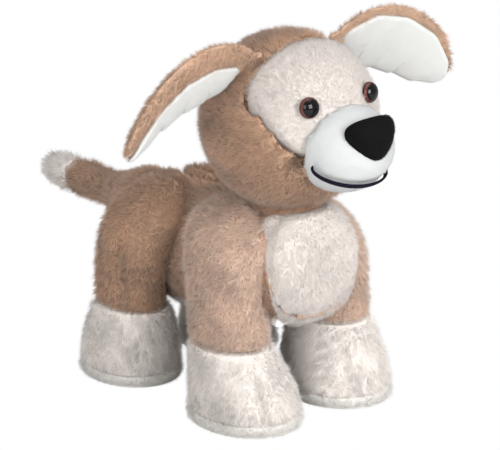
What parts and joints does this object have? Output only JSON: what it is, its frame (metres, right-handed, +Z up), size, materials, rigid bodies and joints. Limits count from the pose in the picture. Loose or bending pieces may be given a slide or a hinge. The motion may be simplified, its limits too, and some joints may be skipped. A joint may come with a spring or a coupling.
{
  "type": "interactive plush dog",
  "caption": "Standing plush dog toy in short tan and cream pile with a fleece muzzle, floppy lined ears, a motor-turned head, a wagging tail and a press button under the back.",
  "frame": {"origin": "middle of the bounding box on the floor, between the four soles", "axes": "+Z up, the dog faces -Y and its tail points +Y, +X is the dog's left"},
  "size_m": [0.3384, 0.4262, 0.3241],
  "materials": {
    "tan_pile": "short dense clumped pile",
    "cream_pile": "short dense pile",
    "white_fleece": "very short fleece",
    "black_velour": "velour",
    "dark_thread": "satin stitch",
    "eye_plastic": "polished",
    "moulded_abs": "moulded",
    "dark_abs": "moulded",
    "plated_steel": "plated",
    "brass": "machined",
    "cell_jacket": "printed sleeve, plain",
    "board_resin": "solder resist"
  },
  "bodies": {
    "torso": {"battery_door": "moulded_abs", "belly_panel": "cream_pile", "body_plush": "tan_pile", "cell_1": "cell_jacket", "cell_2": "cell_jacket", "cell_3": "cell_jacket", "chassis_lower": "moulded_abs", "chassis_upper": "moulded_abs", "chest_panel": "cream_pile", "circuit_board": "board_resin", "door_screw": "plated_steel", "head_motor": "plated_steel", "leg_front_left": "tan_pile", "leg_front_right": "tan_pile", "leg_hind_left": "tan_pile", "leg_hind_right": "tan_pile", "neck_bush": "moulded_abs", "paw_front_left": "cream_pile", "paw_front_right": "cream_pile", "paw_hind_left": "cream_pile", "paw_hind_right": "cream_pile", "sole_front_left": "white_fleece", "sole_front_right": "white_fleece", "sole_hind_left": "white_fleece", "sole_hind_right": "white_fleece", "speaker": "plated_steel", "tail_motor": "plated_steel", "tail_pin": "plated_steel"},
    "head": {"head_plush": "tan_pile", "face_patch": "cream_pile", "muzzle": "white_fleece", "nose": "black_velour", "mouth_line": "dark_thread", "eye_left": "eye_plastic", "eye_right": "eye_plastic", "eye_washer_left": "plated_steel", "eye_washer_right": "plated_steel", "neck_shaft": "plated_steel", "neck_gear": "moulded_abs", "head_plate": "moulded_abs"},
    "head_drive": {"head_pinion": "brass"},
    "ear_left": {"ear_left": "tan_pile", "ear_lining_left": "white_fleece"},
    "ear_right": {"ear_right": "tan_pile", "ear_lining_right": "white_fleece"},
    "tail": {"tail_plush": "tan_pile", "tail_tip": "cream_pile", "tail_arm": "moulded_abs"},
    "tail_drive": {"tail_pinion": "brass"},
    "button": {"touch_button": "moulded_abs"},
    "switch": {"power_slide": "dark_abs"}
  },
  "joints": [
    {"name": "head_turn", "type": "hinge", "parent": "torso", "child": "head", "pos_m": [0, -0.1027, 0.242], "axis": [0, 0, 1], "range_deg": [-35, 35]},
    {"name": "head_pinion_spin", "type": "hinge", "parent": "torso", "child": "head_drive", "pos_m": [0, -0.0787, 0.131], "axis": [0, 0, 1], "range_deg": [-106, 106]},
    {"name": "ear_left_fold", "type": "hinge", "parent": "head", "child": "ear_left", "pos_m": [0.0465, -0.1027, 0.295], "axis": [-0.6217, -0.5618, 0.5458], "range_deg": [-12, 25], "stiffness_Nm_per_rad": 0.15},
    {"name": "ear_right_fold", "type": "hinge", "parent": "head", "child": "ear_right", "pos_m": [-0.0465, -0.1027, 0.295], "axis": [-0.6217, 0.5618, -0.5458], "range_deg": [-12, 25], "stiffness_Nm_per_rad": 0.15},
    {"name": "tail_wag", "type": "hinge", "parent": "torso", "child": "tail", "pos_m": [0, 0.0878, 0.125], "axis": [0, 0, 1], "range_deg": [-25, 25]},
    {"name": "tail_pinion_spin", "type": "hinge", "parent": "torso", "child": "tail_drive", "pos_m": [0, 0.0548, 0.125], "axis": [0, 0, 1], "range_deg": [-113, 113]},
    {"name": "touch_button_press", "type": "slide", "parent": "torso", "child": "button", "axis": [0, 0, -1], "range_m": [0, 0.002], "stiffness_N_per_m": 500},
    {"name": "power_switch_slide", "type": "slide", "parent": "torso", "child": "switch", "axis": [1, 0, 0], "range_m": [0, 0.003]}
  ],
  "couplings": [
    {"joint": "head_pinion_spin", "follows": "head_turn", "ratio": -3},
    {"joint": "tail_pinion_spin", "follows": "tail_wag", "ratio": -4.5}
  ]
}
